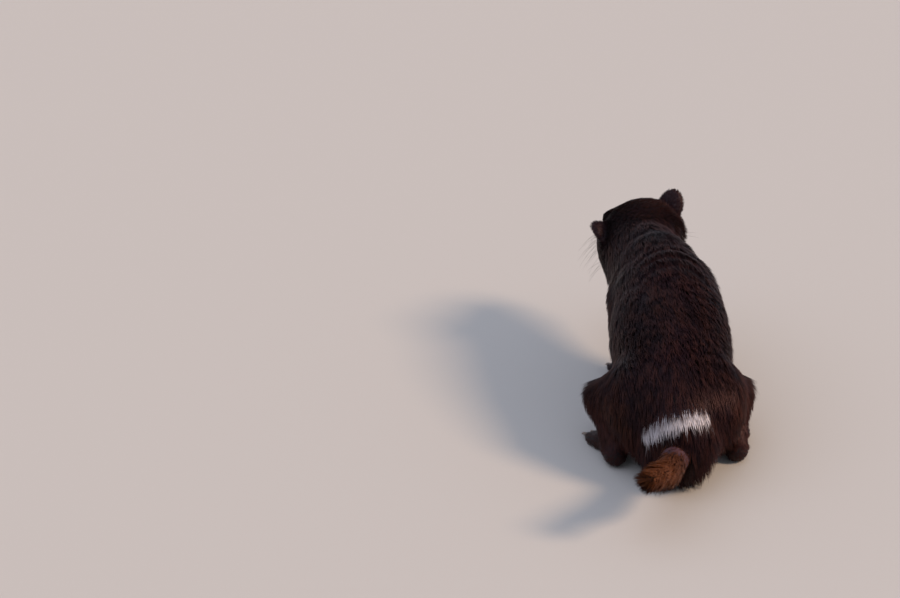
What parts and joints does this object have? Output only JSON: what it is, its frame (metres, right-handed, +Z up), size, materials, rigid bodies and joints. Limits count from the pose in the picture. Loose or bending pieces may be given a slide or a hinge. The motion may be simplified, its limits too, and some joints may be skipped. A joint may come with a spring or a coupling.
{
  "type": "tasmanian devil",
  "caption": "Still life-size model of a wild Tasmanian devil, crouched with its rump on the ground, head turned to its left and tail bent aside.",
  "frame": {"origin": "centre of the bounding box's underside, on the ground under the belly", "axes": "+Z up; the body's long axis lies along Y with the nose towards -Y and the tail towards +Y; the animal's right side is towards -X"},
  "size_m": [0.239, 0.7138, 0.2464],
  "materials": {
    "coat": "short dark brown-black fur",
    "ear": "thin bare skin",
    "eye": "wet and glossy",
    "nose": "moist bare skin"
  },
  "bodies": {
    "root": {"hind_right_thigh": "coat", "hind_right_shank": "coat", "hind_right_foot": "coat", "hind_left_thigh": "coat", "hind_left_shank": "coat", "hind_left_foot": "coat", "fore_right_upper_arm": "coat", "fore_right_forearm": "coat", "fore_right_foot": "coat", "fore_left_upper_arm": "coat", "fore_left_forearm": "coat", "fore_left_foot": "coat", "torso": "coat", "neck": "coat", "tail": "coat", "head": "coat", "ear_left": "ear", "ear_right": "ear", "eye_left": "eye", "eye_right": "eye", "nose": "nose"}
  },
  "joints": []
}
